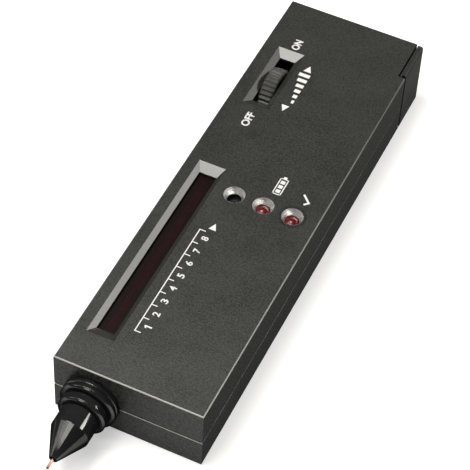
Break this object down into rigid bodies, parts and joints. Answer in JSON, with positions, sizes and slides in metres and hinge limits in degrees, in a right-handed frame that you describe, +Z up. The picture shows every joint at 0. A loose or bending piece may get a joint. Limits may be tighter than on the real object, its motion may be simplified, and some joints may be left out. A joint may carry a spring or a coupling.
{
  "type": "diamond tester",
  "caption": "Hand-held thermal stone tester in a flat two-part case, with a probe nose, light-bar window, lamps, volume thumbwheel and sliding battery cover.",
  "frame": {"origin": "centre of the case's underside, on the face it rests on", "axes": "+X across the case to the side of the battery cover's cheek, +Y along the case away from the probe, +Z up out of the printed top face"},
  "size_m": [0.043, 0.1761, 0.0222],
  "materials": {
    "case_plastic": "fine spark-eroded texture",
    "wheel_plastic": "satin black",
    "filter_plastic": "clear dark red",
    "lamp_plastic": "tinted red",
    "bezel_metal": "bright turned",
    "steel": "plated",
    "board_laminate": "green solder mask",
    "chip_plastic": "moulded black",
    "capacitor_sleeve": "blue sleeve",
    "trimmer_plastic": "blue",
    "resistor_body": "beige",
    "battery_can": "plain wrapped can",
    "red_sleeve": "red",
    "black_sleeve": "black",
    "nose_plastic": "polished black",
    "copper": "bright copper",
    "carrier_plastic": "natural",
    "brass": "drawn"
  },
  "bodies": {
    "case": {"upper_shell": "case_plastic", "lower_shell": "case_plastic", "display_filter": "filter_plastic", "display_light_1": "lamp_plastic", "display_light_2": "lamp_plastic", "display_light_3": "lamp_plastic", "display_light_4": "lamp_plastic", "display_light_5": "lamp_plastic", "display_light_6": "lamp_plastic", "display_light_7": "lamp_plastic", "display_light_8": "lamp_plastic", "display_light_9": "lamp_plastic", "display_light_10": "lamp_plastic", "display_light_11": "lamp_plastic", "display_light_12": "lamp_plastic", "sound_bezel": "bezel_metal", "battery_lamp_bezel": "bezel_metal", "ready_lamp_bezel": "bezel_metal", "battery_lamp": "lamp_plastic", "ready_lamp": "lamp_plastic", "volume_control": "steel", "circuit_board": "board_laminate", "driver_chip_1": "chip_plastic", "driver_chip_2": "chip_plastic", "amplifier_chip": "chip_plastic", "capacitor_1": "capacitor_sleeve", "capacitor_2": "capacitor_sleeve", "capacitor_3": "capacitor_sleeve", "trimmer_1": "trimmer_plastic", "trimmer_2": "trimmer_plastic", "resistor_1": "resistor_body", "resistor_2": "resistor_body", "resistor_3": "resistor_body", "resistor_4": "resistor_body", "buzzer": "chip_plastic", "battery": "battery_can", "snap_connector": "chip_plastic", "battery_lead_red": "red_sleeve", "battery_lead_black": "black_sleeve", "nose_flange": "nose_plastic", "nose_collar": "nose_plastic", "nose_cone": "nose_plastic", "return_spring": "steel", "probe_tube": "brass", "probe_lead_1": "red_sleeve", "probe_lead_2": "red_sleeve", "case_screw_1": "steel", "case_screw_2": "steel", "case_screw_3": "steel", "case_screw_4": "steel", "board_screw_1": "steel", "board_screw_2": "steel"},
    "wheel": {"thumbwheel": "wheel_plastic", "wheel_spindle": "steel", "wheel_screw": "steel"},
    "pin": {"probe_pin": "copper", "pin_carrier": "carrier_plastic"},
    "cover": {"battery_cover": "case_plastic"}
  },
  "joints": [
    {"name": "wheel_turn", "type": "hinge", "parent": "case", "child": "wheel", "pos_m": [-0.0128, 0.0428, 0.0142], "axis": [-1, 0, 0], "range_deg": [0, 280]},
    {"name": "pin_press", "type": "slide", "parent": "case", "child": "pin", "axis": [0, 1, 0], "range_m": [0, 0.0015], "stiffness_N_per_m": 300, "deforming": ["return_spring"]},
    {"name": "cover_slide", "type": "slide", "parent": "case", "child": "cover", "axis": [0, 1, 0], "range_m": [0, 0.055]}
  ]
}
